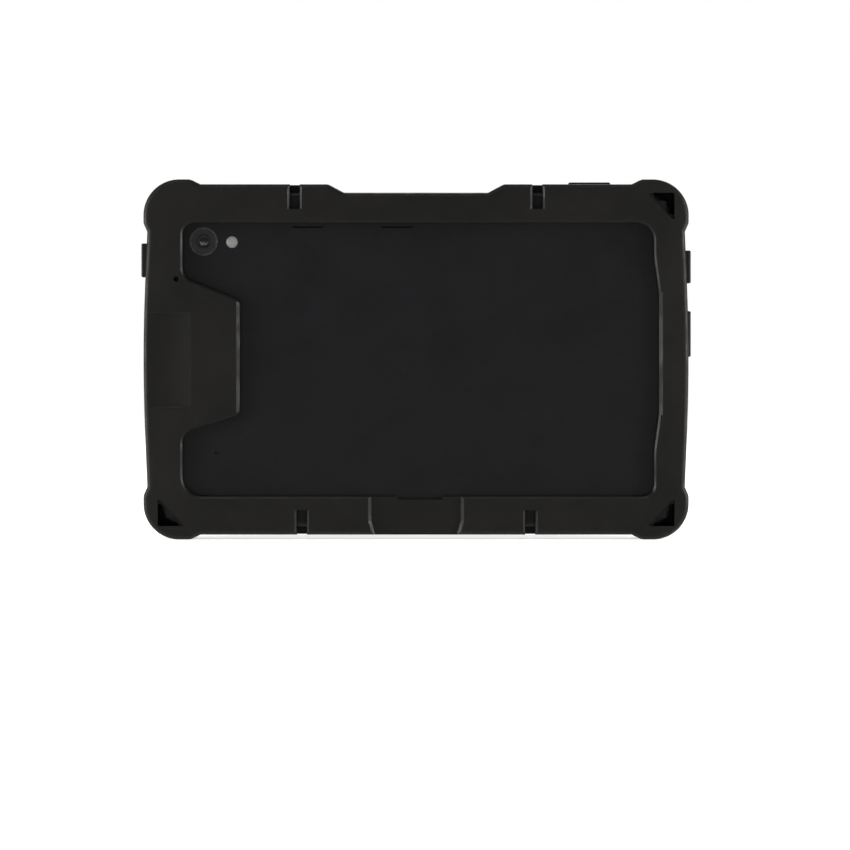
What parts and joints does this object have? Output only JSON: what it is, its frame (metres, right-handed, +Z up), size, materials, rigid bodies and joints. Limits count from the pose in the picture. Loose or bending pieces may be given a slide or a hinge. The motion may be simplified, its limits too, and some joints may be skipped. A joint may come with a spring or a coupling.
{
  "type": "rugged field tablet",
  "caption": "Rugged tablet computer for field data collection in a moulded boot with corner bumpers, edge keys, rear camera and dock contacts.",
  "frame": {"origin": "on the floor under the middle of the boot, which stands on its lower long edge", "axes": "+X along the long side, to the right as seen from behind; +Y from the back of the boot to the screen; +Z up"},
  "size_m": [0.276, 0.019, 0.1805],
  "materials": {
    "boot_rubber": "matte moulded",
    "cover_plastic": "fine texture",
    "button_plastic": "satin",
    "screen_glass": "polished",
    "display": "dark, unlit",
    "tray_plastic": "white",
    "frame_metal": "cast",
    "board_laminate": "solder mask",
    "steel": "plated",
    "battery_wrap": "foil label",
    "antenna_film": "copper on film",
    "module_black": "moulded",
    "motor_can": "plain",
    "adhesive": "foam tape",
    "camera_glass": "polished",
    "camera_trim": "satin",
    "flash_diffuser": "frosted",
    "lamp_phosphor": "phosphor",
    "scan_glass": "dark red, polished",
    "contact_gold": "gold plated"
  },
  "bodies": {
    "tablet": {"boot_shell": "boot_rubber", "corner_bumper_top_left": "boot_rubber", "corner_bumper_top_right": "boot_rubber", "corner_bumper_bottom_left": "boot_rubber", "corner_bumper_bottom_right": "boot_rubber", "strap_anchor_top_left": "boot_rubber", "strap_anchor_top_right": "boot_rubber", "strap_anchor_bottom_left": "boot_rubber", "strap_anchor_bottom_right": "boot_rubber", "dock_surround": "boot_rubber", "port_surround": "boot_rubber", "rear_cover": "cover_plastic", "front_glass": "screen_glass", "display_panel": "display", "backlight_tray": "tray_plastic", "mid_frame": "frame_metal", "main_board": "board_laminate", "io_board": "board_laminate", "board_shields": "steel", "frame_screws": "steel", "board_screws": "steel", "volume_rocker_pin": "steel", "usb_c_socket": "steel", "key_switches": "steel", "battery_pack": "battery_wrap", "nfc_antenna": "antenna_film", "radio_antenna_left": "antenna_film", "radio_antenna_right": "antenna_film", "rear_camera_module": "module_black", "front_camera_module": "module_black", "rear_microphone": "module_black", "scan_engine": "module_black", "speaker_left": "module_black", "speaker_right": "module_black", "audio_socket": "module_black", "dock_connector": "module_black", "vibration_motor": "motor_can", "display_adhesive": "adhesive", "rear_camera_window": "camera_glass", "rear_camera_ring": "camera_trim", "flash_lens": "flash_diffuser", "flash_lamp": "lamp_phosphor", "scan_window": "scan_glass", "dock_contacts": "contact_gold"},
    "power_key": {"power_key_cap": "boot_rubber", "power_button": "button_plastic"},
    "left_trigger_key": {"left_trigger_key_cap": "boot_rubber", "left_trigger_button": "button_plastic"},
    "right_trigger_key": {"right_trigger_key_cap": "boot_rubber", "right_trigger_button": "button_plastic"},
    "volume_rocker": {"volume_key_cap": "boot_rubber", "volume_button": "button_plastic"}
  },
  "joints": [
    {"name": "power_press", "type": "slide", "parent": "tablet", "child": "power_key", "axis": [0, 0, -1], "range_m": [0, 0.0005], "stiffness_N_per_m": 300, "springref_m": -0.0008},
    {"name": "left_trigger_press", "type": "slide", "parent": "tablet", "child": "left_trigger_key", "axis": [1, 0, 0], "range_m": [0, 0.0005], "stiffness_N_per_m": 300, "springref_m": -0.0008},
    {"name": "right_trigger_press", "type": "slide", "parent": "tablet", "child": "right_trigger_key", "axis": [-1, 0, 0], "range_m": [0, 0.0005], "stiffness_N_per_m": 300, "springref_m": -0.0008},
    {"name": "volume_rock", "type": "hinge", "parent": "tablet", "child": "volume_rocker", "pos_m": [0.1274, -0.002, 0.10305], "axis": [0, 1, 0], "range_deg": [-2, 2], "stiffness_Nm_per_rad": 0.03}
  ]
}
